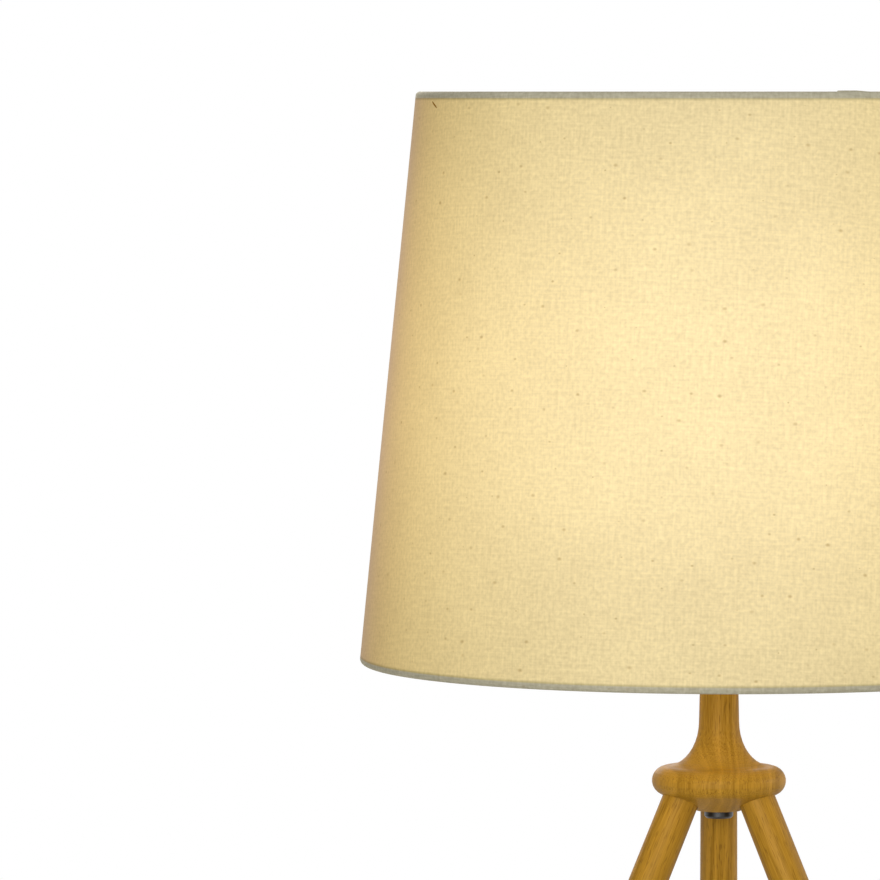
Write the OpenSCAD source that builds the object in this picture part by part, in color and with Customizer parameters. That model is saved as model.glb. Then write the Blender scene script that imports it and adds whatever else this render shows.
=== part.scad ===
// Tripod table lamp: a turned hardwood hub on three splayed legs, a screw lampholder with a
// push-bar switch, and a tapered fabric shade that a screwed ring holds on the lampholder.
// Millimetres, +Z up. The origin is on the table, on the lamp's own axis.
// The front of the lamp faces -Y: two legs point forward and one points back.

/* [Hub] */
// Height of the top of the hub's neck above the table
neck_top_z = 330; // [310:5:360]
// Length of the turned hub, from its underside to the top of its neck
hub_h = 80; // [76:1:90]
// Diameter of the neck at its top
neck_top_d = 18; // [17:0.2:20]
// Diameter of the neck where its flare begins
neck_root_d = 19.6; // [19:0.1:22]
// Height of the flare between the neck and the hub's rounded rim
flare_h = 22; // [18:1:30]
// Radius of the hub's rounded rim
rim_r = 7; // [6:0.5:8]
// Wood left outside each leg's seat
seat_lip = 2.5; // [2:0.5:5]
// Width of the flat ring of wood round the nut's recess
flat_w = 2; // [1:0.5:4]
// Wood left between the nut's recess and each leg's seat
seat_wall = 4.5; // [3:0.5:7]

/* [Legs] */
// Lean of each leg from the vertical, in degrees
leg_lean = 25; // [18:0.5:28]
// Depth of the flat seat that each leg's shoulder enters
seat_depth = 2; // [1.5:0.5:3]
// Diameter of a leg at its shoulder
leg_top_d = 18; // [16:0.5:20]
// Diameter of a leg at its foot
leg_foot_d = 12.5; // [11:0.5:16]
// How far a leg's middle swells beyond a straight taper
leg_belly = 1.3; // [0.5:0.1:2]
// Diameter of the hanger bolt in each leg
bolt_d = 6; // [5:0.5:7]
// Length of the hanger bolt inside the leg
bolt_in_leg = 25; // [18:1:40]
// Outer diameter of the threaded insert in the hub
insert_d = 10; // [9:0.5:11]
// Length of the threaded insert in the hub
insert_l = 12; // [9:1:13]

/* [Feet] */
// Diameter of the pad under each leg
pad_d = 11.6; // [9:0.2:12]
// Thickness of the pad under each leg
pad_h = 2.5; // [2:0.1:4]
// Diameter of the head of the nail that holds a pad
nail_head_d = 5; // [4:0.5:7]
// Thickness of that nail's head
nail_head_h = 0.8; // [0.6:0.1:1]
// Diameter of that nail's shank
nail_d = 1.6; // [1.2:0.1:2]
// Length of the shank inside the leg
nail_in_leg = 7; // [5:0.5:8]

/* [Tube and fixings] */
// Outer diameter of the hollow threaded tube
tube_d = 10; // [9:0.5:11]
// Bore of the threaded tube, for the lead
tube_bore_d = 8; // [7:0.5:8.5]
// Width of the two clamping nuts across their flats
nut_af = 13; // [12:0.5:13.5]
// Thickness of each clamping nut
nut_h = 3.5; // [3:0.5:5]
// Diameter of the washer under the lower nut
washer_d = 17; // [15.5:0.5:18]
// Thickness of that washer
washer_t = 1.2; // [1:0.1:2]
// Depth of the recess in the hub's underside
recess_depth = 10; // [8:0.5:12]
// Diameter of the bush at the tube's lower end
bush_d = 14; // [13:0.5:15]
// How far the bush reaches over the tube
bush_grip = 5; // [4:0.5:7]
// Thickness of the bush's lower lip, which the lead passes
bush_lip = 4; // [3.5:0.5:6]
// Bore of the bush's lip
cord_bore_d = 7.2; // [6:0.2:7.4]
// Diameter of the brass collar on the neck
collar_d = 24; // [23:0.5:28]
// Height of the collar above the top of the neck
collar_t = 2.5; // [2:0.5:5]
// Depth of the collar's recess over the top of the neck
collar_cup = 1.5; // [1:0.5:3]

/* [Lampholder] */
// Outer diameter of the lampholder's barrel
holder_d = 42; // [41:0.5:46]
// Wall of the lampholder's mouldings
holder_wall = 2; // [1.6:0.1:2.4]
// Diameter of the cap's threaded neck
cap_neck_d = 16; // [15:0.5:20]
// Height of the cap's threaded neck
cap_neck_h = 9; // [7:0.5:12]
// Height of the cap's dome
cap_dome_h = 11; // [10:0.5:14]
// Height of the rebate where the barrel meets the cap
rebate_h = 1.5; // [1:0.5:2.5]
// Height of the barrel, from the cap to the flange
barrel_h = 15; // [14.5:0.5:20]
// Diameter of the flange that the shade rests on
flange_d = 48; // [46:0.5:52]
// Thickness of that flange
flange_t = 3; // [2:0.5:5]
// Outer diameter of the threaded skirt above the flange
skirt_d = 39.6; // [38:0.2:40.6]
// Height of the skirt above the flange
skirt_h = 24; // [22:0.5:30]
// Thickness of the insulating block above the switch bar
block_roof_t = 2; // [1.5:0.5:3]
// Sheet thickness of the screw shell and the contacts
sheet_t = 0.5; // [0.4:0.1:0.8]
// Height of the bulb's tip above the insulating block
tip_rise = 2.5; // [2:0.5:4]
// Size of each brass terminal, along X, Y and Z
terminal_size = [6.5, 5, 9];
// Distance of each terminal from the lamp's axis
terminal_y = 11; // [10:0.5:12]
// How far each terminal enters the insulating block
terminal_in_block = 5; // [4:0.5:6]
// Diameter of the shank of the small screws
small_screw_d = 3; // [2.5:0.5:3.5]
// Diameter of the head of the small screws
small_head_d = 5; // [4.5:0.5:5.5]
// Height of the head of the small screws
small_head_h = 1.5; // [1:0.5:2.5]

/* [Switch] */
// Diameter of the push bar
bar_d = 7; // [6:0.5:8]
// Length of the push bar
bar_l = 56; // [54:1:64]
// How far the bar slides between on and off
bar_travel = 6; // [4:0.5:7]
// Rounding of the push bar's ends
bar_edge = 1.2; // [0.5:0.1:2]
// Length of the waist that carries the bridge contact
bar_waist_l = 10; // [8:0.5:14]
// Depth of that waist
waist_depth = 1.5; // [1.2:0.1:2]
// How far the bridge contact lies inside the bar's own diameter
bridge_drop = 0.3; // [0.2:0.1:0.5]
// Wall of the bosses that guide the bar
boss_wall = 2; // [1.5:0.5:2]

/* [Retaining ring] */
// Diameter of the ring's flange
ring_flange_d = 51; // [50:0.5:54]
// Diameter of the ring's fluted grip
ring_grip_d = 46; // [45:0.5:48]
// Height of the ring's flange
ring_flange_t = 2.5; // [2:0.5:4]
// Height of the whole ring
ring_h = 11; // [9:0.5:14]
// Number of flutes round the grip
flute_count = 24; // [12:2:30]
// Diameter of each flute
flute_d = 2.6; // [2:0.2:3.2]

/* [Shade] */
// Outer diameter of the shade's lower rim
shade_bottom_d = 350; // [300:5:400]
// Outer diameter of the shade's upper rim
shade_top_d = 296; // [250:2:340]
// Height of the shade from rim to rim
shade_h = 278; // [240:2:320]
// Height of the fitting ring's seat above the lower rim
fitting_rise = 52; // [40:1:70]
// Thickness of the cloth
cloth_t = 0.6; // [0.5:0.1:0.9]
// Thickness of the plastic lining behind the cloth
lining_t = 0.6; // [0.4:0.1:0.9]
// Diameter of the rim wires
wire_d = 3; // [2.6:0.2:4]
// Diameter of the three spokes
spoke_d = 2.5; // [2:0.1:2.5]
// How far the cloth wraps round each rim wire, in degrees
wrap_angle = 230; // [180:5:240]
// Width of the glued lap where the cloth's ends meet
lap_w = 12; // [8:1:20]
// Direction of the lap, in degrees from +X
lap_azimuth = 62; // [50:2:80]
// Outer diameter of the fitting ring
fitting_d = 56; // [54:0.5:62]
// Thickness of the fitting ring
fitting_t = 1.5; // [1.2:0.1:2.5]

/* [Bulb] */
// Diameter of the bulb's globe
globe_d = 60; // [54:1:66]
// Overall length of the bulb, from its tip contact to its top
bulb_l = 108; // [104:1:116]
// Wall of the globe
globe_wall = 1.2; // [1:0.1:2]
// Diameter of the bulb's screw cap
screw_d = 26.3; // [25:0.1:27]
// Length of the screw cap and tip, up to the housing
screw_l = 26; // [25:0.5:28]
// Diameter of the housing at the screw cap
housing_neck_d = 28; // [27:0.5:32]
// Depth of the globe's lower edge under its centre
globe_edge_drop = 14; // [10:0.5:18]
// Diameter of the board that carries the light chips
board_d = 40; // [36:1:46]
// Thickness of that board
board_t = 1.6; // [1:0.1:2]
// Number of light chips
chip_count = 10; // [6:1:16]
// Size of one light chip, along X, Y and Z
chip_size = [3.5, 2.8, 0.7];

/* [Clearances] */
// Gap between the lower washer and the wall of the hub's recess
recess_gap = 0.5; // [0.3:0.1:1]
// Gap round pieces that are pressed, screwed or glued in
fit_gap = 0.05; // [0.02:0.01:0.1]
// Gap round pieces that turn or slide on another piece
run_gap = 0.08; // [0.03:0.01:0.1]
// Gap round the tube in the wood, and round a leg in its seat
wood_gap = 0.2; // [0.1:0.05:0.4]
// Gap between the fitting ring and the lampholder's skirt
fitting_gap = 0.5; // [0.2:0.1:0.8]

/* [Hidden] */
$fn = 96;
// Segments in a quarter of a turned curve
ARC = 10;
// Length by which a cutter runs past the face that it cuts
OVER = 1;
WOOD = "#9a6a26";
BRASS = "#b8924a";
ZINC = "#a9adb0";
BLACK = "#202022";
WHITE = "#e9e7e0";
LINEN = "#e6cf98";

// Legs: front left, front right, back, as directions in degrees from +X
LEG_LEFT = 210;
LEG_RIGHT = 330;
LEG_BACK = 90;
LEG_AZIMUTHS = [LEG_LEFT, LEG_RIGHT, LEG_BACK];

// Hub: its recess, its flat, its conical underside and the leg seats in it
hub_z = neck_top_z - hub_h;
recess_r = washer_d / 2 + recess_gap;
flat_r = recess_r + flat_w;
seat_r = leg_top_d / 2 + wood_gap;
seat_rho = recess_r + seat_wall + seat_r * cos(leg_lean);
seat_z = hub_z + (seat_rho - flat_r) * tan(leg_lean);
hub_r = seat_rho + seat_r * cos(leg_lean) + seat_lip;
rim_rho = hub_r - rim_r;
rim_z = hub_z + (rim_rho - flat_r) * tan(leg_lean) + rim_r / cos(leg_lean);
flare_z = rim_z + rim_r + flare_h;
neck_top_r = neck_top_d / 2;
neck_root_r = neck_root_d / 2;
neck_edge = 0.6;
// The rim's arc starts just past the point where the flare's arc ends, at 90 degrees
rim_start = 80;

// Legs: length along the axis from the seat's floor to the pad, and the foot's place
leg_l = (seat_z - pad_h) / cos(leg_lean) + seat_depth;
foot_rho = seat_rho + (seat_z - pad_h) * tan(leg_lean);
pad_edge = 0.5;

// Tube: what is stacked on it, from the bush up to the lampholder's cap
washer_z = hub_z + recess_depth - washer_t;
lower_nut_z = washer_z - nut_h;
tube_z = lower_nut_z - bush_grip;
bush_z = tube_z - bush_lip;
bush_edge = 1;
upper_nut_z = neck_top_z + collar_t;
holder_z = upper_nut_z + nut_h;
tube_rise = 2;
tube_top_z = holder_z + cap_neck_h + tube_rise;
collar_round = 1;

// Lampholder: levels from the cap to the skirt's rim
dome_z = holder_z + cap_neck_h;
barrel_z = dome_z + cap_dome_h;
flange_z = barrel_z + barrel_h;
shelf_z = flange_z + flange_t;
skirt_top_z = shelf_z + skirt_h;
holder_r = holder_d / 2;
skirt_r = skirt_d / 2;
barrel_bore_r = holder_r - holder_wall;
skirt_bore_r = skirt_r - holder_wall;
ledge = 1;
skirt_edge = 0.8;
block_gap = 0.2;
block_drop = 1.5;
block_top_z = flange_z - block_drop;
bar_clear = 0.5;
bar_z = block_top_z - block_roof_t - bar_clear - bar_d / 2;
bar_park = bar_travel / 2;
boss_r = bar_d / 2 + run_gap + boss_wall;
boss_l = flange_d;
terminal_z = barrel_z + terminal_in_block - terminal_size[2];

// Bulb: levels above its tip
tip_z = block_top_z + tip_rise;
tip_h = 1.2;
tip_r = 4.8;
glass_h = 3.3;
cap_z = tip_z + tip_h + glass_h;
housing_z = tip_z + screw_l;
globe_r = globe_d / 2;
globe_z = tip_z + bulb_l - globe_r;
globe_edge_z = globe_z - globe_edge_drop;
globe_edge_r = sqrt(globe_r * globe_r - globe_edge_drop * globe_edge_drop);
screw_r = screw_d / 2;
screw_edge = 3.2;
shell_bore_r = screw_r + run_gap;
shell_drop = 4;

// Shade: rims, wires and the slope of its wall
rim_bottom_z = shelf_z - fitting_rise;
rim_top_z = rim_bottom_z + shade_h;
wire_r = wire_d / 2;
roll_r = wire_r + fit_gap + cloth_t;
wire_bottom = [shade_bottom_d / 2 - roll_r, rim_bottom_z + roll_r];
wire_top = [shade_top_d / 2 - roll_r, rim_top_z - roll_r];
wall_slope = (wire_top[0] - wire_bottom[0]) / (wire_top[1] - wire_bottom[1]);
fitting_z = shelf_z;
spoke_weld = 1;
spoke_start = [fitting_d / 2 - spoke_weld, fitting_z + fitting_t / 2];
SPOKE_AZIMUTHS = [90, 210, 330];
ring_z = fitting_z + fitting_t;

// Radius of the cloth's outer face at height z
function cloth_r(z) = wire_bottom[0] + roll_r + (z - wire_bottom[1]) * wall_slope;
// Radius of the lining's outer face at height z
function lining_r(z) = cloth_r(z) - cloth_t - fit_gap;
// Points of an elliptical arc about c, from angle a to angle b
function arc(c, rx, ry, a, b, n = ARC) =
    [for (i = [0 : n]) let (t = a + (b - a) * i / n) [c[0] + rx * cos(t), c[1] + ry * sin(t)]];
// Radius of a leg at the share u of its length, 0 at the shoulder and 1 at the foot
function leg_r(u) = (leg_top_d + (leg_foot_d - leg_top_d) * u) / 2 + leg_belly * sin(180 * u);

// A ring of revolution: outer radius, inner radius, underside and height
module ring(r, bore_r, z, h) {
    translate([0, 0, z])
    difference() {
        cylinder(r = r, h = h);
        translate([0, 0, -OVER]) cylinder(r = bore_r, h = h + 2 * OVER);
    }
}

// A hexagon nut for the tube, standing on height z
module nut(z) {
    translate([0, 0, z])
    difference() {
        cylinder(d = nut_af / cos(30), h = nut_h, $fn = 6);
        translate([0, 0, -OVER]) cylinder(d = tube_d + 2 * fit_gap, h = nut_h + 2 * OVER);
    }
}

// Places children in a leg's own frame: origin on its seat in the hub's underside, -Z down the leg
module leg_frame(azimuth) {
    rotate([0, 0, azimuth])
    translate([seat_rho, 0, seat_z])
    rotate([0, -leg_lean, 0])
    children();
}

// Places children on the foot point of every leg, on the table
module each_foot() {
    for (a = LEG_AZIMUTHS) rotate([0, 0, a]) translate([foot_rho, 0, 0]) children();
}

// A wire from point p to point q of the plane of radius and height, turned to an azimuth
module spoke(p, q, d, azimuth) {
    run = q - p;
    rotate([0, 0, azimuth])
    translate([p[0], 0, p[1]])
    rotate([0, atan2(run[0], run[1]), 0])
    cylinder(d = d, h = norm(run));
}

module hub_blank() {
    rotate_extrude()
    polygon(concat(
        [[0, hub_z], [0, neck_top_z], [neck_top_r - neck_edge, neck_top_z]],
        [[neck_top_r, neck_top_z - neck_edge]],
        arc([rim_rho, flare_z], rim_rho - neck_root_r, flare_h, 180, 270),
        arc([rim_rho, rim_z], rim_r, rim_r, rim_start, leg_lean - 90),
        [[flat_r, hub_z]]
    ));
}

module hub() {
    color(WOOD)
    difference() {
        hub_blank();
        translate([0, 0, hub_z - OVER]) cylinder(d = tube_d + 2 * wood_gap, h = hub_h + 2 * OVER);
        translate([0, 0, hub_z - OVER]) cylinder(r = recess_r, h = recess_depth + OVER);
        for (a = LEG_AZIMUTHS) leg_frame(a) {
            translate([0, 0, -2 * rim_r]) cylinder(r = seat_r, h = seat_depth + 2 * rim_r);
            cylinder(d = insert_d + 2 * fit_gap, h = seat_depth + insert_l);
        }
    }
}

module leg(azimuth) {
    steps = 2 * ARC;
    color(WOOD)
    difference() {
        leg_frame(azimuth) translate([0, 0, seat_depth])
        difference() {
            rotate_extrude()
            polygon(concat(
                [[0, 0]],
                [for (i = [0 : steps]) [leg_r(i / steps), -leg_l * i / steps]],
                [[leg_r(1), -leg_l - leg_foot_d], [0, -leg_l - leg_foot_d]]
            ));
            translate([0, 0, -bolt_in_leg]) cylinder(d = bolt_d + 2 * fit_gap, h = bolt_in_leg + OVER);
        }
        rotate([0, 0, azimuth]) translate([foot_rho - leg_top_d, -leg_top_d, pad_h - 4 * leg_foot_d])
            cube([2 * leg_top_d, 2 * leg_top_d, 4 * leg_foot_d]);
        rotate([0, 0, azimuth]) translate([foot_rho, 0, 0])
            cylinder(d = nail_d + 2 * fit_gap, h = pad_h + nail_in_leg);
    }
}

module leg_left() { leg(LEG_LEFT); }

module leg_right() { leg(LEG_RIGHT); }

module leg_back() { leg(LEG_BACK); }

module leg_inserts() {
    color(BRASS)
    for (a = LEG_AZIMUTHS) leg_frame(a) ring(insert_d / 2, bolt_d / 2 + fit_gap, seat_depth, insert_l);
}

module leg_bolts() {
    color(ZINC)
    for (a = LEG_AZIMUTHS) leg_frame(a)
        translate([0, 0, seat_depth - bolt_in_leg]) cylinder(d = bolt_d, h = bolt_in_leg + insert_l);
}

module foot_pads() {
    color(BLACK)
    each_foot()
    difference() {
        rotate_extrude()
            polygon([[0, 0], [pad_d / 2 - pad_edge, 0], [pad_d / 2, pad_edge], [pad_d / 2, pad_h], [0, pad_h]]);
        translate([0, 0, -OVER]) cylinder(d = nail_d + 2 * fit_gap, h = pad_h + 2 * OVER);
        translate([0, 0, -OVER]) cylinder(d = nail_head_d + 2 * fit_gap, h = pad_h / 2 + OVER);
    }
}

module foot_nails() {
    color(ZINC)
    each_foot() {
        translate([0, 0, pad_h / 2 - nail_head_h]) cylinder(d = nail_head_d, h = nail_head_h);
        translate([0, 0, pad_h / 2 - nail_head_h / 2])
            cylinder(d = nail_d, h = nail_in_leg + pad_h / 2 + nail_head_h / 2);
    }
}

module tube() {
    color(ZINC) ring(tube_d / 2, tube_bore_d / 2, tube_z, tube_top_z - tube_z);
}

module tube_washer() {
    color(ZINC) ring(washer_d / 2, tube_d / 2 + wood_gap, washer_z, washer_t);
}

module tube_nut() {
    color(ZINC) nut(lower_nut_z);
}

module cord_bush() {
    color(BLACK)
    rotate_extrude()
    polygon([
        [cord_bore_d / 2, bush_z + bush_edge], [cord_bore_d / 2 + bush_edge, bush_z],
        [bush_d / 2 - bush_edge, bush_z], [bush_d / 2, bush_z + bush_edge],
        [bush_d / 2, lower_nut_z], [tube_d / 2 + fit_gap, lower_nut_z],
        [tube_d / 2 + fit_gap, tube_z], [cord_bore_d / 2, tube_z]
    ]);
}

module neck_collar() {
    cup_r = neck_top_r + wood_gap;
    color(BRASS)
    rotate_extrude()
    polygon(concat(
        [[tube_d / 2 + wood_gap, neck_top_z], [cup_r, neck_top_z], [cup_r, neck_top_z - collar_cup]],
        arc([collar_d / 2 - collar_round, neck_top_z + (collar_t - collar_cup) / 2], collar_round,
            (collar_t + collar_cup) / 2, -90, 90),
        [[tube_d / 2 + wood_gap, upper_nut_z]]
    ));
}

module neck_nut() {
    color(ZINC) nut(upper_nut_z);
}

module holder_cap() {
    cap_neck_r = cap_neck_d / 2;
    rebate_r = holder_r - holder_wall / 2;
    hollow_r = barrel_bore_r - ledge;
    color(BLACK)
    difference() {
        rotate_extrude()
        polygon(concat(
            [[tube_d / 2 + fit_gap, holder_z], [cap_neck_r, holder_z]],
            arc([cap_neck_r, barrel_z], holder_r - cap_neck_r, cap_dome_h, -90, 0),
            [[holder_r, barrel_z + rebate_h], [rebate_r, barrel_z + rebate_h]],
            [[rebate_r, barrel_z]],
            arc([cap_neck_r, barrel_z], hollow_r - cap_neck_r, cap_dome_h - holder_wall, 0, -90),
            [[tube_d / 2 + fit_gap, dome_z + holder_wall]]
        ));
        grip_screw_place() cylinder(d = small_screw_d + 2 * fit_gap, h = 2 * cap_neck_d);
    }
}

// The screw that locks the cap on the tube, along the radius at the back of the cap's neck
module grip_screw_place() {
    translate([0, tube_d / 2 + fit_gap, holder_z + cap_neck_h / 2]) rotate([-90, 0, 0]) children();
}

module grip_screw() {
    shank_l = cap_neck_d / 2 - tube_d / 2 - fit_gap;
    color(ZINC)
    grip_screw_place() {
        cylinder(d = small_screw_d, h = shank_l + OVER);
        translate([0, 0, shank_l]) cylinder(d = small_head_d, h = small_head_h);
    }
}

// The switch bar's axis, from its middle: children lie along +X and -X
module bar_axis() {
    translate([0, 0, bar_z]) rotate([0, 90, 0]) children();
}

module holder_body() {
    rebate_r = holder_r - holder_wall / 2 + fit_gap;
    color(BLACK)
    difference() {
        union() {
            rotate_extrude()
            polygon([
                [0, barrel_z], [rebate_r - 2 * fit_gap, barrel_z],
                [rebate_r - 2 * fit_gap, barrel_z + rebate_h], [holder_r, barrel_z + rebate_h],
                [holder_r, flange_z], [flange_d / 2, flange_z], [flange_d / 2, shelf_z],
                [skirt_r, shelf_z], [skirt_r, skirt_top_z - skirt_edge],
                [skirt_r - skirt_edge, skirt_top_z],
                [0, skirt_top_z]
            ]);
            bar_axis() cylinder(r = boss_r, h = boss_l, center = true);
        }
        rotate_extrude()
        polygon([
            [0, barrel_z - OVER], [barrel_bore_r, barrel_z - OVER], [barrel_bore_r, block_top_z],
            [skirt_bore_r, block_top_z], [skirt_bore_r, skirt_top_z + OVER],
            [0, skirt_top_z + OVER]
        ]);
        bar_axis() cylinder(r = bar_d / 2 + run_gap, h = 2 * holder_d, center = true);
    }
}

module contact_block() {
    slot_w = bar_d + 2 * bar_clear;
    slot_top = bar_z + bar_d / 2 + bar_clear;
    color(WHITE)
    difference() {
        translate([0, 0, barrel_z]) cylinder(r = barrel_bore_r - block_gap, h = block_top_z - barrel_z);
        translate([-holder_d, -slot_w / 2, barrel_z - OVER])
            cube([2 * holder_d, slot_w, slot_top - barrel_z + OVER]);
        each_terminal()
            translate([0, 0, terminal_size[2] - terminal_in_block])
            box_up([for (s = terminal_size) s + 2 * fit_gap], -OVER);
    }
}

// A box on the axis whose underside is at height z
module box_up(size, z) {
    translate([-size[0] / 2, -size[1] / 2, z]) cube([size[0], size[1], size[2] - 2 * fit_gap - z]);
}

// Places children under both terminals
module each_terminal() {
    for (side = [-1, 1]) translate([0, side * terminal_y, terminal_z]) children();
}

module terminals() {
    color(BRASS)
    each_terminal()
    difference() {
        translate([-terminal_size[0] / 2, -terminal_size[1] / 2, 0]) cube(terminal_size);
        translate([0, 0, -OVER]) cylinder(d = small_screw_d + 2 * fit_gap, h = terminal_size[2] / 2 + OVER);
    }
}

module terminal_screws() {
    color(ZINC)
    each_terminal() {
        cylinder(d = small_screw_d, h = terminal_size[2] / 2);
        translate([0, 0, -small_head_h]) cylinder(d = small_head_d, h = small_head_h);
    }
}

// A cup of brass sheet: a floor with a hole for the centre contact, a wall and a flared lip
module screw_shell() {
    shell_r = shell_bore_r + sheet_t;
    floor_hole_r = tip_r + 2.2;
    lip_out = 0.8;
    lip_z = skirt_top_z - shell_drop;
    color(BRASS)
    rotate_extrude()
    polygon([
        [floor_hole_r, block_top_z], [shell_r, block_top_z], [shell_r, lip_z - lip_out],
        [shell_r + lip_out, lip_z], [shell_bore_r + lip_out, lip_z + sheet_t / 2],
        [shell_bore_r, lip_z - lip_out + sheet_t / 2], [shell_bore_r, block_top_z + sheet_t],
        [floor_hole_r, block_top_z + sheet_t]
    ]);
}

// A bent leaf: its foot on the block, a slope, and the flat that meets the bulb's tip
module center_contact() {
    leaf_w = 4.5;
    foot_x = -6;
    bend_x = -2;
    top_x = 1.5;
    end_x = 4;
    color(BRASS)
    translate([0, leaf_w / 2, block_top_z])
    rotate([90, 0, 0])
    linear_extrude(height = leaf_w)
    polygon([
        [foot_x, 0], [bend_x, 0], [top_x, tip_rise - sheet_t], [end_x, tip_rise - sheet_t],
        [end_x, tip_rise], [top_x - sheet_t / 2, tip_rise], [bend_x - sheet_t / 2, sheet_t],
        [foot_x, sheet_t]
    ]);
}

module switch_bar() {
    end_r = bar_d / 2;
    color(BLACK)
    translate([bar_park, 0, 0])
    bar_axis()
    rotate_extrude()
    polygon(concat(
        [[0, -bar_l / 2]],
        arc([end_r - bar_edge, -bar_l / 2 + bar_edge], bar_edge, bar_edge, -90, 0, 6),
        [[end_r, -bar_waist_l / 2], [end_r - waist_depth, -bar_waist_l / 2]],
        [[end_r - waist_depth, bar_waist_l / 2], [end_r, bar_waist_l / 2]],
        arc([end_r - bar_edge, bar_l / 2 - bar_edge], bar_edge, bar_edge, 0, 90, 6),
        [[0, bar_l / 2]]
    ));
}

// A brass clip that is open below, so that it snaps over the bar's waist
module switch_bridge() {
    bridge_l = bar_waist_l - 2 * fit_gap;
    waist_r = bar_d / 2 - waist_depth;
    color(BRASS)
    translate([bar_park, 0, 0])
    bar_axis()
    difference() {
        ring(bar_d / 2 - bridge_drop, waist_r + fit_gap, -bridge_l / 2, bridge_l);
        translate([0, -waist_r, -bridge_l]) cube([bar_d, 2 * waist_r, 2 * bridge_l]);
    }
}

module shade_ring() {
    bore_r = skirt_r + run_gap;
    flange_r = ring_flange_d / 2;
    grip_r = ring_grip_d / 2;
    grip_z = ring_z + ring_flange_t;
    edge = 0.5;
    color(BLACK)
    difference() {
        rotate_extrude()
        polygon([
            [bore_r, ring_z], [flange_r, ring_z], [flange_r, grip_z - edge],
            [flange_r - edge, grip_z], [grip_r, grip_z], [grip_r, ring_z + ring_h - 2 * edge],
            [grip_r - 2 * edge, ring_z + ring_h], [bore_r, ring_z + ring_h]
        ]);
        for (i = [0 : flute_count - 1])
            rotate([0, 0, i * 360 / flute_count])
            translate([grip_r + flute_d / 4, 0, grip_z + edge])
            cylinder(d = flute_d, h = ring_h);
    }
}

module shade_carrier() {
    color(WHITE)
    union() {
        ring(fitting_d / 2, skirt_r + fitting_gap, fitting_z, fitting_t);
        for (a = SPOKE_AZIMUTHS) spoke(spoke_start, wire_bottom, spoke_d, a);
        rim_wire(wire_bottom);
    }
}

// A rim wire whose centre line passes point p of the plane of radius and height
module rim_wire(p) {
    rotate_extrude() translate(p) circle(r = wire_r);
}

module ring_top() {
    color(WHITE) rim_wire(wire_top);
}

module shade_lining() {
    low = wire_bottom[1] + wire_r + cloth_t;
    high = wire_top[1] - wire_r - cloth_t;
    color(WHITE)
    rotate_extrude()
    polygon([
        [lining_r(low), low], [lining_r(high), high],
        [lining_r(high) - lining_t, high], [lining_r(low) - lining_t, low]
    ]);
}

module shade_cover() {
    inner_roll_r = roll_r - cloth_t;
    lap_angle = lap_w / (shade_bottom_d / 2) * 180 / PI;
    color(LINEN)
    difference() {
        union() {
            rotate_extrude()
            polygon(concat(
                arc(wire_bottom, roll_r, roll_r, 0, -wrap_angle, 2 * ARC),
                arc(wire_bottom, inner_roll_r, inner_roll_r, -wrap_angle, 0, 2 * ARC),
                arc(wire_top, inner_roll_r, inner_roll_r, 0, wrap_angle, 2 * ARC),
                arc(wire_top, roll_r, roll_r, wrap_angle, 0, 2 * ARC)
            ));
            rotate([0, 0, lap_azimuth])
            rotate_extrude(angle = lap_angle)
            polygon([for (p = [[-cloth_t / 2, wire_bottom[1]], [cloth_t, wire_bottom[1]],
                               [cloth_t, wire_top[1]], [-cloth_t / 2, wire_top[1]]])
                [cloth_r(p[1]) + p[0], p[1]]]);
        }
        for (a = SPOKE_AZIMUTHS) spoke(spoke_start, wire_bottom, spoke_d + 4 * wood_gap, a);
    }
}

module bulb_globe() {
    wall_r = globe_r - globe_wall;
    color(WHITE)
    rotate_extrude()
    polygon(concat(
        arc([0, globe_z], globe_r, globe_r, -asin(globe_edge_drop / globe_r), 90, 2 * ARC),
        arc([0, globe_z], wall_r, wall_r, 90, -asin(globe_edge_drop / wall_r), 2 * ARC)
    ));
}

module bulb_housing() {
    neck_r = housing_neck_d / 2;
    rise = globe_edge_z - housing_z;
    color(WHITE)
    rotate_extrude()
    polygon(concat(
        [[0, housing_z]],
        [for (i = [0 : ARC]) let (u = i / ARC)
            [neck_r + (globe_edge_r - neck_r) * (0.7 * u + 0.3 * u * u), housing_z + rise * u]],
        [[0, globe_edge_z]]
    ));
}

module bulb_cap() {
    cap_lip = 0.8;
    color(ZINC)
    rotate_extrude()
    polygon([
        [0, cap_z], [screw_r - screw_edge, cap_z], [screw_r, cap_z + screw_edge],
        [screw_r, housing_z - cap_lip], [screw_r - cap_lip, housing_z], [0, housing_z]
    ]);
}

module bulb_insulator() {
    color(BLACK)
    rotate_extrude()
    polygon([
        [0, tip_z + tip_h], [tip_r + tip_h, tip_z + tip_h], [screw_r - screw_edge, cap_z], [0, cap_z]
    ]);
}

module bulb_tip() {
    color(ZINC)
    rotate_extrude()
    polygon([[0, tip_z], [tip_r - tip_h, tip_z], [tip_r, tip_z + tip_h], [0, tip_z + tip_h]]);
}

module led_board() {
    chip_inset = 5.6;
    chip_rho = board_d / 2 - chip_inset;
    color(WHITE)
    union() {
        translate([0, 0, globe_edge_z]) cylinder(d = board_d, h = board_t);
        for (i = [0 : chip_count - 1])
            rotate([0, 0, i * 360 / chip_count])
            translate([chip_rho, 0, globe_edge_z + board_t + chip_size[2] / 2 - fit_gap])
            cube(chip_size, center = true);
    }
}

hub();
leg_left();
leg_right();
leg_back();
leg_inserts();
leg_bolts();
foot_pads();
foot_nails();
tube();
tube_washer();
tube_nut();
cord_bush();
neck_collar();
neck_nut();
holder_cap();
grip_screw();
holder_body();
contact_block();
terminals();
terminal_screws();
screw_shell();
center_contact();
switch_bar();
switch_bridge();
shade_ring();
shade_carrier();
ring_top();
shade_lining();
shade_cover();
bulb_globe();
bulb_housing();
bulb_cap();
bulb_insulator();
bulb_tip();
led_board();
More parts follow.
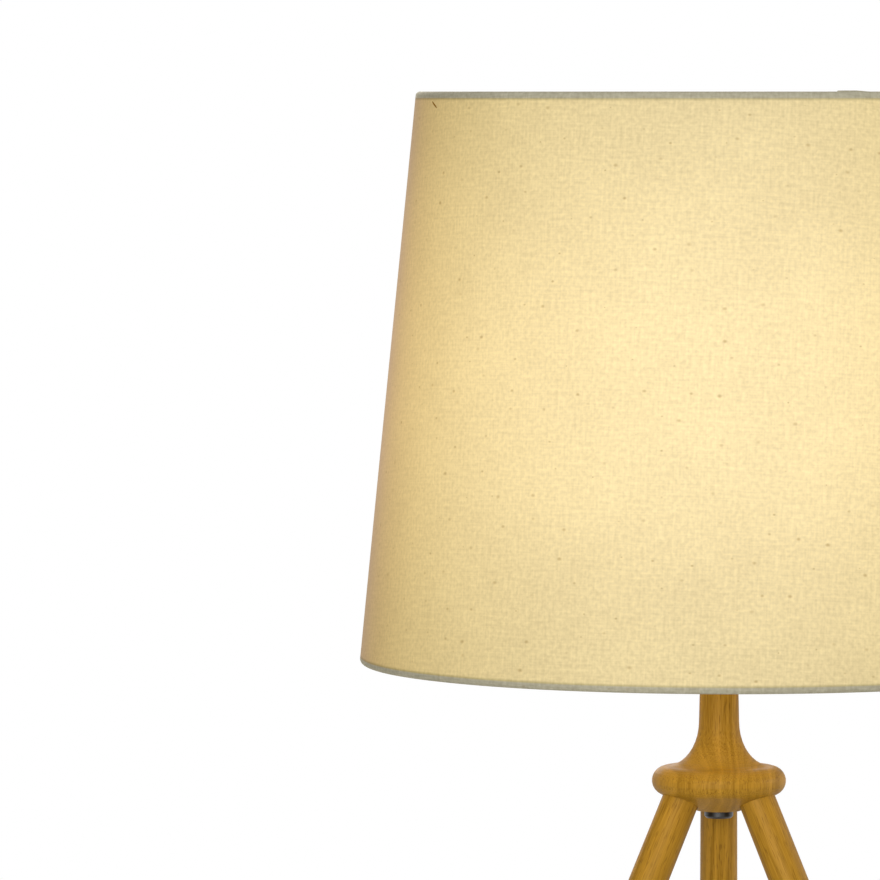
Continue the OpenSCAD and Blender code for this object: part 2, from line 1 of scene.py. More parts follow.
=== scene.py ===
# %% [markdown]
# # A tripod table lamp with a lit cloth shade
#
# This notebook dresses a finished CAD model. The CAD part gives every piece its true size and
# place, so nothing here is moved or resized: the steps below add a camera, soft studio light, a
# finish for every piece, the lampholder's thread and the one soft piece, the cloth of the shade.
# The frame comes first, because what is added has to fit it.

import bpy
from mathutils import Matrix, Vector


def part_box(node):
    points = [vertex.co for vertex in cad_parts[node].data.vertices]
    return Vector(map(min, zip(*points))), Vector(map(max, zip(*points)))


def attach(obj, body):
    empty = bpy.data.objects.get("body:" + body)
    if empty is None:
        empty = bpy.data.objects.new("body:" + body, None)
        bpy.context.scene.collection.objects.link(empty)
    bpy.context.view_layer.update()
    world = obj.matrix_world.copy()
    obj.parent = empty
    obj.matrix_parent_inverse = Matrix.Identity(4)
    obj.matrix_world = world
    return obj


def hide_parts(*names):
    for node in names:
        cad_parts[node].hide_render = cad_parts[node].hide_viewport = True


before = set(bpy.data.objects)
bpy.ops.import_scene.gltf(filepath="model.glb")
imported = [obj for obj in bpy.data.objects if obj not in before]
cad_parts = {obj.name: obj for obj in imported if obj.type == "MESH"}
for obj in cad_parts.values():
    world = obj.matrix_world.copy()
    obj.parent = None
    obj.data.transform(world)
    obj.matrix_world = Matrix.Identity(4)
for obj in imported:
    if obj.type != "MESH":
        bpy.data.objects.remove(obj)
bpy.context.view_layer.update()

import math

import bmesh
import bpy
import numpy as np
from mathutils import Vector

MM = 0.001

# %% [markdown]
# ## Sizes read from the frame
#
# The shade is two wire rims with cloth stretched between them. Its shape follows from the middle
# of each wire, the wire's radius and the radius of the cloth's roll round the lower wire. The
# boxes of the CAD nodes give all of them, and the light of the shade needs the bulb's place too.

# %% Read the shade and the bulb
top_low, top_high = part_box("ring_top")
carrier_low, carrier_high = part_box("shade_carrier")
cover_low, cover_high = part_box("shade_cover")
globe_low, globe_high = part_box("bulb_globe")

WIRE_R = (top_high.z - top_low.z) / 2
TOP_WIRE = Vector((top_high.x - WIRE_R, top_low.z + WIRE_R))
BOTTOM_WIRE = Vector((carrier_high.x - WIRE_R, carrier_low.z + WIRE_R))
ROLL_R = cover_high.x - BOTTOM_WIRE.x
GLOBE_R = globe_high.x
BULB_Z = globe_high.z - GLOBE_R
CLOTH_T = 0.45 * MM

print(f"rims {2 * (TOP_WIRE.x + ROLL_R) / MM:.1f} and {2 * (BOTTOM_WIRE.x + ROLL_R) / MM:.1f} mm wide")
print(f"wires {2 * WIRE_R / MM:.1f} mm, roll {ROLL_R / MM:.2f} mm, bulb at z = {BULB_Z / MM:.0f} mm")

# %% [markdown]
# ## Helpers
#
# Three small functions serve every finish. The first turns a colour as a paint chart gives it,
# in sRGB, to the linear light that shaders work in. The second adds a node with its settings and
# links in one call. The third starts a material from one Principled shader, which suits nearly
# every real surface and travels well to other programs.

# %% Colour, node and material helpers
MIX_A, MIX_B, MIX_OUT = 6, 7, 2        # the colour sockets of a Mix node
NOISE_SPAN = (0.3, 0.7)                # the values that a noise mostly stays between


def linear(code):
    """Turns an sRGB colour such as "#bdb8a2" to linear red, green, blue and alpha."""
    shares = [int(code[i:i + 2], 16) / 255 for i in (1, 3, 5)]
    return [c / 12.92 if c <= 0.04045 else ((c + 0.055) / 1.055) ** 2.4 for c in shares] + [1.0]


def add(tree, kind, sockets=None, **settings):
    """Adds one node. settings are its properties, sockets its inputs by name or number."""
    made = tree.nodes.new("ShaderNode" + kind)
    for name, value in settings.items():
        setattr(made, name, value)
    for key, value in (sockets or {}).items():
        if isinstance(value, bpy.types.NodeSocket):
            tree.links.new(value, made.inputs[key])
        else:
            made.inputs[key].default_value = value
    return made


def new_finish(name, **sockets):
    """Starts a material with one Principled shader and returns it with its tree and that shader."""
    made = bpy.data.materials.new(name)
    made.use_nodes = True
    made.node_tree.nodes.clear()
    values = {key.replace("_", " "): value for key, value in sockets.items()}
    shader = add(made.node_tree, "BsdfPrincipled", values)
    add(made.node_tree, "OutputMaterial", {"Surface": shader.outputs[0]})
    return made, made.node_tree, shader


print("#bdb8a2 in linear light:", [round(c, 3) for c in linear("#bdb8a2")])

# %% [markdown]
# ## The camera
#
# The camera is level with the shade's upper rim, which is why that rim shows as a straight line
# and the lower one as a shallow curve. It stands 3.3 m in front, with a long lens. It is turned a
# little down and to the left, so that the lamp's axis falls right of the middle of the frame and
# the rim near its top.

# %% Place the camera
FRAME_PX = 880                 # the picture's width and height
AXIS_PX = 720                  # column of the lamp's axis in the picture
RIM_PX = 91.5                  # row of the upper rim in the picture
PX_PER_M = 2057                # pixels per metre at the lamp's axis
CAMERA_DISTANCE = 3.3
SENSOR_MM = 36

focal_px = PX_PER_M * CAMERA_DISTANCE
camera_data = bpy.data.cameras.new("camera")
camera_data.sensor_width = SENSOR_MM
camera_data.lens = focal_px * SENSOR_MM / FRAME_PX
camera = bpy.data.objects.new("camera", camera_data)
bpy.context.scene.collection.objects.link(camera)
bpy.context.scene.camera = camera

pitch = math.atan((FRAME_PX / 2 - RIM_PX) / focal_px)
yaw = math.atan((AXIS_PX - FRAME_PX / 2) / focal_px)
camera.location = (0, -CAMERA_DISTANCE, cover_high.z)
camera.rotation_euler = (math.pi / 2 - pitch, 0, yaw)
print(f"lens {camera_data.lens:.1f} mm, {math.degrees(pitch):.2f} down, {math.degrees(yaw):.2f} left")

# %% [markdown]
# ## Light and floor
#
# A product picture on white needs two things that work against each other: a white ground and
# gentle light on the object. The world is therefore white only where the camera, a mirror or
# glass looks at it, and dimmer as a source of light. The floor works the same way: it shows as a
# pale disc that takes the lamp's shadow and fades to white before its edge, but it throws up less
# light than it shows, or the lower rim and the neck would be lit from below.
#
# Four soft panels light the lamp. The one in front does most of the work, a weak one above lights
# the upper rim, one stands at the right, and one behind lights the back.

# %% Make the world, the panels and the floor
WORLD_LIGHT = 0.25             # the world's strength as a source of light
FLOOR_R = 2.4
FLOOR_FADE = (0.35, 1.6)       # radii between which the floor fades to white
FLOOR_PALE = "#f3f2f0"         # the floor as the camera sees it
FLOOR_BOUNCE = "#d2d0cb"       # the floor as the lamp sees it, so that it throws up less light


def looked_at(tree):
    """1 where the camera, a mirror or glass looks at a surface, 0 where it only sends out light."""
    path = add(tree, "LightPath")
    mirror = add(tree, "Math", {0: path.outputs["Is Camera Ray"], 1: path.outputs["Is Glossy Ray"]},
                 operation="MAXIMUM")
    glass = add(tree, "Math", {0: mirror.outputs[0], 1: path.outputs["Is Transmission Ray"]},
                operation="MAXIMUM")
    return glass.outputs[0]


scene = bpy.context.scene
scene.view_settings.view_transform = "Standard"
world = bpy.data.worlds.new("studio")
world.use_nodes = True
world.node_tree.nodes.clear()
scene.world = world
sky = world.node_tree
strength = add(sky, "MapRange", {"Value": looked_at(sky), "To Min": WORLD_LIGHT, "To Max": 1.0})
ground = add(sky, "Background", {"Color": linear("#ffffff"), "Strength": strength.outputs[0]})
add(sky, "OutputWorld", {"Surface": ground.outputs[0]})

PANELS = {                     # place, width and height in metres, power in watts
    "panel_front": ((-0.4, -2.8, 0.75), (1.6, 0.9), 45),
    "panel_top": ((0.2, -0.9, 2.6), (1.0, 0.8), 15),
    "panel_right": ((2.5, 0.5, 0.9), (1.2, 1.2), 20),
    "panel_back": ((-0.6, 2.7, 1.4), (1.6, 1.0), 48),
}
AIM = Vector((0, 0, 0.35))     # the point that every panel faces
for name, (place, size, power) in PANELS.items():
    lamp = bpy.data.lights.new(name, "AREA")
    lamp.shape = "RECTANGLE"
    lamp.size, lamp.size_y = size
    lamp.energy = power
    panel = bpy.data.objects.new(name, lamp)
    panel.location = place
    panel.rotation_euler = (AIM - Vector(place)).to_track_quat("-Z", "Y").to_euler()
    scene.collection.objects.link(panel)

bpy.ops.mesh.primitive_circle_add(vertices=128, radius=FLOOR_R, fill_type="NGON")
floor = bpy.context.object
floor.name = "floor"
paper, tree, shader = new_finish("paper_floor", Roughness=0.9)
seen = looked_at(tree)
pale = add(tree, "Mix", {0: seen, MIX_A: linear(FLOOR_BOUNCE), MIX_B: linear(FLOOR_PALE)},
           data_type="RGBA")
tree.links.new(pale.outputs[MIX_OUT], shader.inputs["Base Color"])
place = add(tree, "TexCoord")
radius = add(tree, "VectorMath", {0: place.outputs["Object"]}, operation="LENGTH")
fade = add(tree, "MapRange", {"Value": radius.outputs["Value"], "From Min": FLOOR_FADE[0],
                              "From Max": FLOOR_FADE[1]}, interpolation_type="SMOOTHSTEP")
white = add(tree, "Math", {0: fade.outputs[0], 1: seen}, operation="MULTIPLY")
glow = add(tree, "Emission", {"Color": linear("#ffffff"), "Strength": 1.0})
both = add(tree, "MixShader", {0: white.outputs[0], 1: shader.outputs[0], 2: glow.outputs[0]})
tree.links.new(both.outputs[0], tree.nodes["Material Output"].inputs["Surface"])
floor.data.materials.append(paper)
print("panels:", len(PANELS), "floor radius in m:", FLOOR_R)

# %% [markdown]
# ## The cloth of the shade
#
# The real cover is cut flat, as a part of a wide ring, bent to a cone and glued along one lap. At
# both rims it is rolled round a wire. It could be drawn as a plain surface of revolution, but then
# it would have no cut edge and no lap, so it is built here as the strip that it is: a row of
# columns that goes once round the lamp and a little further, with its last columns lying on the
# first ones.
#
# Each column is the same profile: up the inside of the lower roll, round under the wire, up the
# wall, and round over the upper wire. The distance along that profile and the angle round the lamp
# also give each point's place in the flat cut, which is kept as a map, because threads run
# straight in the flat cloth and not on the cone.

# %% Profile of the cover
WRAP = math.radians(230)       # how far the cloth is rolled round each wire
ROLL_STEPS = 18
WALL_STEPS = 48

slant = math.atan2(BOTTOM_WIRE.x - TOP_WIRE.x, TOP_WIRE.y - BOTTOM_WIRE.y)
wall_l = (TOP_WIRE - BOTTOM_WIRE).length
apex_l = (BOTTOM_WIRE.x + ROLL_R) / math.sin(slant)


def profile(lift):
    """Points (radius, height, distance up the cut) of one column, lift outside the cloth's outer face."""
    roll = ROLL_R + lift
    points = []
    for i in range(ROLL_STEPS + 1):
        turn = WRAP * (i / ROLL_STEPS - 1)
        points.append((BOTTOM_WIRE.x + roll * math.cos(turn), BOTTOM_WIRE.y + roll * math.sin(turn),
                       ROLL_R * turn))
    for i in range(1, WALL_STEPS):
        at = BOTTOM_WIRE.lerp(TOP_WIRE, i / WALL_STEPS)
        points.append((at.x + roll, at.y, wall_l * i / WALL_STEPS))
    for i in range(ROLL_STEPS + 1):
        turn = WRAP * i / ROLL_STEPS
        points.append((TOP_WIRE.x + roll * math.cos(turn), TOP_WIRE.y + roll * math.sin(turn),
                       wall_l + ROLL_R * turn))
    return points


# %% [markdown]
# The lap lies at the back of the lamp, where a shade's seam is always turned. There the strip
# climbs by a little more than its own thickness and lies on its beginning for 12 mm. A ripple of
# less than a fifth of a millimetre keeps the rims from looking machined.

# %% Build the cover
COLUMNS = 360
LAP_AZIMUTH = math.radians(62)
LAP_W = 12 * MM
CLIMB = math.radians(3)        # angle over which the strip climbs on its own beginning
RIPPLE = 0.12 * MM
RIPPLES = ((5, 9, 1.0), (11, -20, 0.6))    # waves round, radians in a metre up, share of RIPPLE
LAP_LIFT = 1.2                 # how far the strip climbs, in thicknesses of the cloth
MAP_SIZE = 1.2                 # metres of flat cloth that the map's unit square spans
MAP_LOW = Vector((-0.6, 1.4))  # the flat place of that square's lower left corner

lap_angle = LAP_W / BOTTOM_WIRE.x
strip_angle = 2 * math.pi + lap_angle
columns = COLUMNS + round(COLUMNS * lap_angle / (2 * math.pi))
step = strip_angle / columns


def strip_point(column, radius, height, up):
    """A point of the strip in space, and its place in the flat cut."""
    turned = column * step
    azimuth = LAP_AZIMUTH + turned
    waves = sum(share * math.sin(count * azimuth + lean * up) for count, lean, share in RIPPLES)
    radius += RIPPLE * waves
    fan = (turned - strip_angle / 2) * math.sin(slant)
    flat = Vector((-math.sin(fan), math.cos(fan))) * (apex_l - up)
    return (radius * math.cos(azimuth), radius * math.sin(azimuth), height), (flat - MAP_LOW) / MAP_SIZE


vertices, places, faces = [], [], []
for column in range(columns + 1):
    climbed = (column * step - (2 * math.pi - CLIMB)) / CLIMB
    lift = LAP_LIFT * CLOTH_T * min(1, max(0, climbed))
    outer = profile(lift)
    inner = profile(lift - CLOTH_T)[::-1]
    for radius, height, up in outer + inner:
        point, flat = strip_point(column, radius, height, up)
        vertices.append(point)
        places.append(flat)
loop_n = len(vertices) // (columns + 1)
for column in range(columns):
    for i in range(loop_n):
        a = column * loop_n + i
        b = column * loop_n + (i + 1) % loop_n
        faces.append((a, a + loop_n, b + loop_n, b))
last = columns * loop_n
half = loop_n // 2
for i in range(half - 1):
    faces.append((i, i + 1, loop_n - 2 - i, loop_n - 1 - i))
    faces.append((last + loop_n - 1 - i, last + loop_n - 2 - i, last + i + 1, last + i))

mesh = bpy.data.meshes.new("shade_cloth")
mesh.from_pydata(vertices, [], faces)
flat_map = mesh.uv_layers.new(name="cut")
for loop in mesh.loops:
    flat_map.data[loop.index].uv = places[loop.vertex_index]
mesh.polygons.foreach_set("use_smooth", [True] * len(mesh.polygons))
mesh.update()
cloth = bpy.data.objects.new("shade_cloth", mesh)
scene.collection.objects.link(cloth)

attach(cloth, "shade")
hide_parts("shade_cover")

# %% [markdown]
# ## Natural linen, lit from inside
#
# Unbleached linen is a plain weave of uneven flax yarn. Where a yarn is thick it dims the light,
# which draws faint streaks along and across, and now and then a scrap of brown stalk sits in a
# yarn as a fleck. Lit from inside, three things shape its look:
#
# - the light of the bulb falls with distance and slant, and the film behind the cloth evens it out;
# - nothing shines through the rims, because the wire is in the way;
# - seen at a slant, light comes through a longer stretch of fibre, which takes most of the blue
#   and least of the red. A tinted coat does just that: it absorbs by the length of the path.
#
# The glow could come from real translucency, but that would be grainy and would be lost in every
# other program, so it is given as emission that follows the real fall-off.

# %% Threads, slubs and flecks of the linen
THREAD = 1.1                   # mm from thread to thread; the picture shows no finer
STREAK_L = 15                  # mm, how long a thick stretch of yarn goes on
KNOT = 2.1                     # mm, size of the small thick and thin places
FLECK_CELL = 13                # mm, height of the cells that hold one fleck of stalk each
FLECK_STRETCH = 1.4            # length over height of a cell and its fleck, which lies in the weft
FLECK_H = 2.6                  # mm, height of the largest flecks
FLECK_R = (0.15, 0.5)          # half the height of the least and the largest fleck, over FLECK_H
FLECK_DEPTH = (0.04, 0.5)      # how brown the palest and the darkest flecks are
BLOTCH = 45                    # mm, size of the faint clouds in the cloth
YARN_SPAN = (0.25, 0.75)       # the noise values that give the least and the most light

linen, tree, shader = new_finish("linen_plain_weave", Roughness=0.85, Specular_IOR_Level=0.2)
cut_map = add(tree, "UVMap", uv_map="cut")
cut_mm = add(tree, "VectorMath", {0: cut_map.outputs[0], 1: [MAP_SIZE / MM] * 3},
             operation="MULTIPLY").outputs[0]

YARN = {                       # size in mm along weft and warp, detail, least and most light
    "weft": ((STREAK_L, THREAD), 2.0, 0.972, 1.022),
    "warp": ((THREAD, STREAK_L), 2.0, 0.976, 1.02),
    "clouds": ((BLOTCH, BLOTCH), 1.0, 0.985, 1.015),
    "knots": ((KNOT, KNOT), 1.0, 0.956, 1.036),
}
yarn = 1.0
for (weft_mm, warp_mm), detail, least, most in YARN.values():
    at = add(tree, "VectorMath", {0: cut_mm, 1: [1 / weft_mm, 1 / warp_mm, 1]}, operation="MULTIPLY")
    cloud = add(tree, "TexNoise", {"Vector": at.outputs[0], "Scale": 1.0, "Detail": detail},
                noise_dimensions="2D")
    share = add(tree, "MapRange", {"Value": cloud.outputs[0], "From Min": YARN_SPAN[0],
                                   "From Max": YARN_SPAN[1], "To Min": least, "To Max": most})
    yarn = add(tree, "Math", {0: yarn, 1: share.outputs[0]}, operation="MULTIPLY").outputs[0]

at = add(tree, "VectorMath", {0: cut_mm, 1: [1 / (FLECK_CELL * FLECK_STRETCH),
                                              1 / FLECK_CELL, 1]}, operation="MULTIPLY")
spot = add(tree, "TexVoronoi", {"Vector": at.outputs[0], "Scale": 1.0}, voronoi_dimensions="2D")
chance = add(tree, "SeparateColor", {"Color": spot.outputs["Color"]})
reach = add(tree, "MapRange", {"Value": chance.outputs[0],
                               "To Min": FLECK_R[0] * FLECK_H / FLECK_CELL,
                               "To Max": FLECK_R[1] * FLECK_H / FLECK_CELL})
depth = add(tree, "MapRange", {"Value": chance.outputs[1], "To Min": FLECK_DEPTH[0],
                               "To Max": FLECK_DEPTH[1]})
fleck = add(tree, "MapRange", {"Value": spot.outputs["Distance"], "From Max": reach.outputs[0],
                               "To Min": depth.outputs[0], "To Max": 0.0},
            interpolation_type="SMOOTHSTEP")
print("threads:", THREAD, "mm; flecks up to", FLECK_H, "mm high, in cells of", FLECK_CELL, "mm")

# %% [markdown]
# One long slub stands out at the upper left of the shade: a brown end of yarn, lying aslant. Its
# place in the flat cut follows from its direction round the lamp and its height.

# %% The one long slub
SLUB_AZIMUTH = math.radians(203.4)
SLUB_Z = 0.5937                # m, height of its middle
SLUB_L = 9.0                   # mm
SLUB_W = 1.2                   # mm
SLUB_TILT = math.radians(-28)
SLUB_EDGE = 0.3                # share of its half width over which the slub fades in

up = (SLUB_Z - BOTTOM_WIRE.y) / math.cos(slant)
column = (SLUB_AZIMUTH - LAP_AZIMUTH) / step
slub_at = strip_point(column, 0, 0, up)[1] * (MAP_SIZE / MM)
slub_frame = add(tree, "Mapping", {"Vector": cut_mm, "Location": [*slub_at, 0],
                                   "Rotation": [0, 0, SLUB_TILT],
                                   "Scale": [SLUB_L / 2, SLUB_W / 2, 1]}, vector_type="TEXTURE")
slub = add(tree, "TexGradient", {"Vector": slub_frame.outputs[0]}, gradient_type="SPHERICAL")
slub = add(tree, "MapRange", {"Value": slub.outputs["Fac"], "From Max": SLUB_EDGE},
           interpolation_type="SMOOTHSTEP")
brown = add(tree, "Math", {0: fleck.outputs[0], 1: slub.outputs[0]}, operation="MAXIMUM")
print("slub at", [round(x) for x in slub_at], "mm in the flat map")

# %% [markdown]
# The glow follows the bulb: a share of it arrives straight, and the rest comes evenly from the
# white film. Straight light falls with the square of the distance and with the slant, which on an
# upright wall makes the inverse cube of the distance. The wire rims cut it off with a soft edge.

# %% The glow of the cloth
STRAIGHT_SHARE = 0.58          # share of the light that comes straight from the bulb
RIM_DARK = (2.5 * MM, 4.7 * MM)    # from a rim's edge to where the glow begins and is full
GLOW = "#e0cec9"               # the light inside the cloth, before the fibres take their part
GLOW_STRENGTH = 1.0
PATH_TINT = "#eae0a2"          # what a straight path through the fibres lets by
PATH_SHARE = 0.75              # share of the light that takes that path; the rest slips between
PATH_RISE = 0.35               # share of the full glow, near a rim, at which that path is full
SLUB_BROWN = "#7a5a22"
SHEEN = 0.35
SHEEN_TINT = "#a89c80"

bulb_share = (BULB_Z - BOTTOM_WIRE.y) / (TOP_WIRE.y - BOTTOM_WIRE.y)
nearest = BOTTOM_WIRE.lerp(TOP_WIRE, bulb_share).x + ROLL_R

place = add(tree, "TexCoord")
height = add(tree, "SeparateXYZ", {0: place.outputs["Object"]}).outputs["Z"]
away = add(tree, "VectorMath", {0: place.outputs["Object"], 1: (0, 0, BULB_Z)}, operation="DISTANCE")
away = add(tree, "Math", {0: away.outputs["Value"], 1: nearest}, operation="DIVIDE")
straight = add(tree, "Math", {0: away.outputs[0], 1: -3.0}, operation="POWER")
fall = add(tree, "MapRange", {"Value": straight.outputs[0], "To Min": 1 - STRAIGHT_SHARE,
                              "To Max": 1.0})
glow = add(tree, "Math", {0: fall.outputs[0], 1: yarn}, operation="MULTIPLY").outputs[0]
over_low = add(tree, "Math", {0: height, 1: cover_low.z}, operation="SUBTRACT")
under_high = add(tree, "Math", {0: cover_high.z, 1: height}, operation="SUBTRACT")
edge = add(tree, "Math", {0: over_low.outputs[0], 1: under_high.outputs[0]}, operation="MINIMUM")
lit = add(tree, "MapRange", {"Value": edge.outputs[0], "From Min": RIM_DARK[0],
                             "From Max": RIM_DARK[1]}, interpolation_type="SMOOTHSTEP").outputs[0]
glow = add(tree, "Math", {0: glow, 1: lit}, operation="MULTIPLY").outputs[0]
light = add(tree, "Mix", {0: brown.outputs[0], MIX_A: linear(GLOW), MIX_B: linear(SLUB_BROWN)},
            data_type="RGBA")
light = add(tree, "VectorMath", {0: light.outputs[MIX_OUT], "Scale": glow}, operation="SCALE")
tree.links.new(light.outputs[0], shader.inputs["Emission Color"])
shader.inputs["Emission Strength"].default_value = GLOW_STRENGTH

coat = add(tree, "MapRange", {"Value": lit, "From Max": PATH_RISE, "To Max": PATH_SHARE})
tree.links.new(coat.outputs[0], shader.inputs["Coat Weight"])
shader.inputs["Coat Tint"].default_value = linear(PATH_TINT)
shader.inputs["Coat IOR"].default_value = 1.01
shader.inputs["Coat Roughness"].default_value = 1.0
shader.inputs["Sheen Weight"].default_value = SHEEN
shader.inputs["Sheen Roughness"].default_value = 0.3
shader.inputs["Sheen Tint"].default_value = linear(SHEEN_TINT)
print("glow", GLOW, "tint", PATH_TINT)

# %% [markdown]
# By itself the cloth is a greyish beige, a little darker where a yarn is thick. The yarns also
# give it a relief of a hundredth of a millimetre or two, which is a bump.

# %% The cloth's own colour and relief
LINEN = "#bdb8a2"
LINEN_DARK = "#98927c"
RELIEF = 0.08 * MM             # height for a change of 1 in the yarn pattern
YARN_TONES = (0.9, 1.1)        # the yarn pattern from its darkest to its lightest tone

thick = add(tree, "MapRange", {"Value": yarn, "From Min": YARN_TONES[0], "From Max": YARN_TONES[1]})
own = add(tree, "Mix", {0: thick.outputs[0], MIX_A: linear(LINEN_DARK), MIX_B: linear(LINEN)},
          data_type="RGBA")
own = add(tree, "Mix", {0: brown.outputs[0], MIX_A: own.outputs[MIX_OUT],
                        MIX_B: linear(SLUB_BROWN)}, data_type="RGBA")
tree.links.new(own.outputs[MIX_OUT], shader.inputs["Base Color"])
bump = add(tree, "Bump", {"Height": yarn, "Distance": RELIEF, "Strength": 0.6})
tree.links.new(bump.outputs[0], shader.inputs["Normal"])
cloth.data.materials.append(linen)
print("cloth finished:", linen.name)

# %% [markdown]
# ## Turned hardwood
#
# The base is hardwood in a honey brown, turned on a lathe and given a thin satin lacquer. Turning
# cuts round a straight-grained billet, so the fibres run along the hub's and each leg's own axis,
# and the year rings show as long soft bands. Three layers give it: the bands, fine fibres, and
# short dark pores. All are solid textures, so the figure runs on round the piece as it does in
# wood. Each piece gets its own billet: the texture is turned to the piece's axis and moved to
# another spot.

# %% One wood finish per billet
WOOD_LIGHT = "#bb8c2c"
WOOD_MID = "#8b630e"
WOOD_DARK = "#553306"
RING_MM = 4.0                  # mm between year rings, on average
FIBRE_MM = (0.4, 16)           # mm, fibre width and length
PORE_MM = (0.5, 5.0)           # mm, width and length of the spots in which a pore may lie
SWAY_MM = (50, 250)            # mm, size across and along of the slow wander of the rings
SWAY = 30.0                    # mm, the most that the rings wander
PORE_SPAN = (0.62, 0.75)       # noise values at which a pore begins and is full
PORE_DARK = 0.4                # how dark a full pore is
PORE_RELIEF = 0.05 * MM
TONE_SPAN = (0.2, 1.8)         # the sums of band and fibre that give the light and the middle tone
HUB_SPOT = Vector((9, 4, 0))   # mm, where in the tree the hub's billet is cut
LEG_SPOT = Vector((60, 0, 0))  # mm, the same for the first leg
LEG_STEP = Vector((37, 21, 90))    # mm, from one leg's billet to the next
UP = Vector((0, 0, 1))


def turned_wood(name, axis, offset):
    """Lacquered hardwood whose fibres run along axis. offset picks the spot in the tree."""
    made, tree, shader = new_finish(name, Roughness=0.5, IOR=1.5, Specular_IOR_Level=0.15)
    place = add(tree, "TexCoord")
    turn = axis.rotation_difference(UP).to_euler()
    billet = add(tree, "Mapping", {"Vector": place.outputs["Object"], "Rotation": turn,
                                   "Location": offset, "Scale": [1 / MM] * 3}).outputs[0]
    bend = add(tree, "VectorMath", {0: billet, 1: [1 / SWAY_MM[0], 1 / SWAY_MM[0], 1 / SWAY_MM[1]]},
               operation="MULTIPLY")
    sway = add(tree, "TexNoise", {"Vector": bend.outputs[0], "Scale": 1.0, "Detail": 2.0})
    swayed = add(tree, "VectorMath", {0: sway.outputs["Color"], 1: [SWAY, SWAY, 0.0], 2: billet},
                 operation="MULTIPLY_ADD")
    across = add(tree, "SeparateXYZ", {0: swayed.outputs[0]})
    ring = add(tree, "Math", {0: across.outputs["X"], 1: 1 / RING_MM}, operation="MULTIPLY")
    ring = add(tree, "TexNoise", {"W": ring.outputs[0], "Scale": 1.0, "Detail": 3.0},
               noise_dimensions="1D")
    ring = add(tree, "MapRange", {"Value": ring.outputs[0], "From Min": NOISE_SPAN[0],
                                  "From Max": NOISE_SPAN[1]})
    along = add(tree, "VectorMath", {0: billet, 1: [1 / FIBRE_MM[0], 1 / FIBRE_MM[0],
                                                    1 / FIBRE_MM[1]]}, operation="MULTIPLY")
    fibre = add(tree, "TexNoise", {"Vector": along.outputs[0], "Scale": 1.0, "Detail": 3.0})
    fibre = add(tree, "MapRange", {"Value": fibre.outputs[0], "From Min": NOISE_SPAN[0],
                                   "From Max": NOISE_SPAN[1]})
    pore_at = add(tree, "VectorMath", {0: billet, 1: [1 / PORE_MM[0], 1 / PORE_MM[0],
                                                      1 / PORE_MM[1]]}, operation="MULTIPLY")
    pore = add(tree, "TexNoise", {"Vector": pore_at.outputs[0], "Scale": 1.0, "Detail": 0.0})
    pore = add(tree, "MapRange", {"Value": pore.outputs[0], "From Min": PORE_SPAN[0],
                                  "From Max": PORE_SPAN[1]})
    body = add(tree, "Math", {0: ring.outputs[0], 1: fibre.outputs[0]}, operation="ADD")
    tone = add(tree, "MapRange", {"Value": body.outputs[0], "From Min": TONE_SPAN[0],
                                  "From Max": TONE_SPAN[1]})
    colour = add(tree, "Mix", {0: tone.outputs[0], MIX_A: linear(WOOD_LIGHT),
                               MIX_B: linear(WOOD_MID)}, data_type="RGBA")
    depth = add(tree, "Math", {0: pore.outputs[0], 1: PORE_DARK}, operation="MULTIPLY")
    colour = add(tree, "Mix", {0: depth.outputs[0], MIX_A: colour.outputs[MIX_OUT],
                               MIX_B: linear(WOOD_DARK)}, data_type="RGBA")
    tree.links.new(colour.outputs[MIX_OUT], shader.inputs["Base Color"])
    relief = add(tree, "Bump", {"Height": pore.outputs[0], "Distance": PORE_RELIEF, "Strength": 0.5},
                 invert=True)
    tree.links.new(relief.outputs[0], shader.inputs["Normal"])
    return made


def long_axis(node):
    """The direction in which a node's points spread most, pointing up."""
    points = np.array([v.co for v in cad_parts[node].data.vertices])
    spread = np.linalg.svd(points - points.mean(0), full_matrices=False)[2][0]
    return Vector(spread) * math.copysign(1, spread[2])


def dress(finish, *nodes):
    """Gives CAD nodes one finish."""
    for name in nodes:
        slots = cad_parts[name].data.materials
        slots.clear()
        slots.append(finish)


dress(turned_wood("turned_wood_hub", UP, HUB_SPOT), "hub")
for i, leg in enumerate(("leg_left", "leg_right", "leg_back")):
    axis = long_axis(leg)
    dress(turned_wood("turned_wood_" + leg, axis, LEG_SPOT + i * LEG_STEP), leg)
    print(leg, "leans", round(math.degrees(axis.angle(UP)), 1), "degrees")

# %% [markdown]
# ## Metals
#
# The collar is plain brass, turned on a lathe, so fine grooves run round it. The nuts, tube and
# screws are zinc-plated steel, whose plating is a fine patchwork of duller and brighter grains.
# The bulb's cap and the screw shell are nickel-plated brass sheet. A metal needs only its colour,
# full metallic and a roughness, and the default index.

